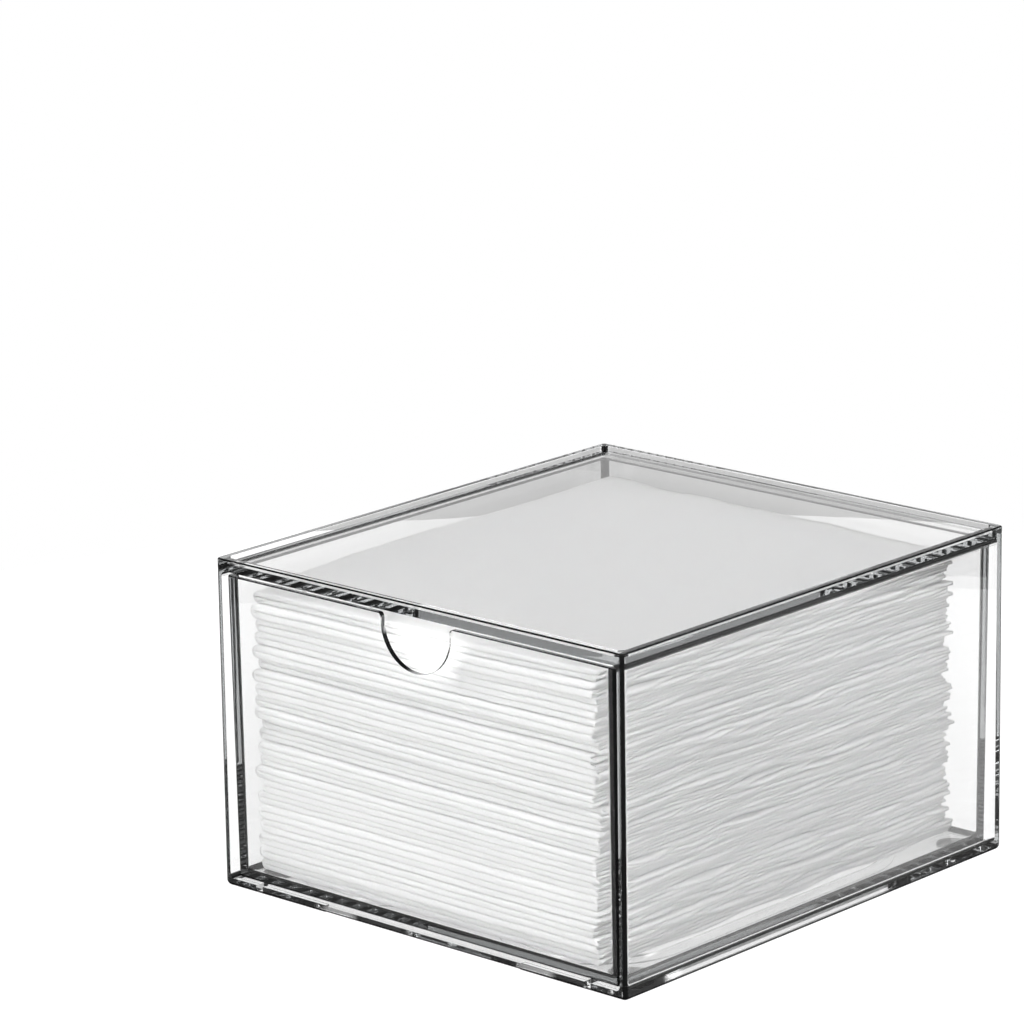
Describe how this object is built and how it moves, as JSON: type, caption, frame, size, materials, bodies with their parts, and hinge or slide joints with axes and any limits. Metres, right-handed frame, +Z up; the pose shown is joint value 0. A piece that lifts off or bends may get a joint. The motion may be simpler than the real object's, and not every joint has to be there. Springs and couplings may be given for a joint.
{
  "type": "cotton pad holder with drawer",
  "caption": "Clear stackable plastic box, open at the front, with a sliding clear drawer that has a round finger notch and holds a stack of folded white cotton tissues.",
  "frame": {"origin": "middle of the footprint, on the surface the box stands on", "axes": "+X to the right across the front, +Y from the front to the back, +Z up"},
  "size_m": [0.165, 0.181, 0.106],
  "materials": {
    "clear_plastic": "clear, colourless, polished injection-moulded polystyrene",
    "clear_pad": "clear soft silicone, smooth",
    "cotton_tissue": "soft matt white cotton non-woven"
  },
  "bodies": {
    "case": {"case": "clear_plastic", "foot_front_left": "clear_pad", "foot_front_right": "clear_pad", "foot_back_left": "clear_pad", "foot_back_right": "clear_pad"},
    "drawer": {"drawer": "clear_plastic", "tissue_01": "cotton_tissue", "tissue_02": "cotton_tissue", "tissue_03": "cotton_tissue", "tissue_04": "cotton_tissue", "tissue_05": "cotton_tissue", "tissue_06": "cotton_tissue", "tissue_07": "cotton_tissue", "tissue_08": "cotton_tissue", "tissue_09": "cotton_tissue", "tissue_10": "cotton_tissue", "tissue_11": "cotton_tissue", "tissue_12": "cotton_tissue", "tissue_13": "cotton_tissue", "tissue_14": "cotton_tissue", "tissue_15": "cotton_tissue", "tissue_16": "cotton_tissue", "tissue_17": "cotton_tissue", "tissue_18": "cotton_tissue", "tissue_19": "cotton_tissue", "tissue_20": "cotton_tissue", "tissue_21": "cotton_tissue", "tissue_22": "cotton_tissue"}
  },
  "joints": [
    {"name": "drawer_slide", "type": "slide", "parent": "case", "child": "drawer", "axis": [0, -1, 0], "range_m": [0, 0.145]}
  ]
}
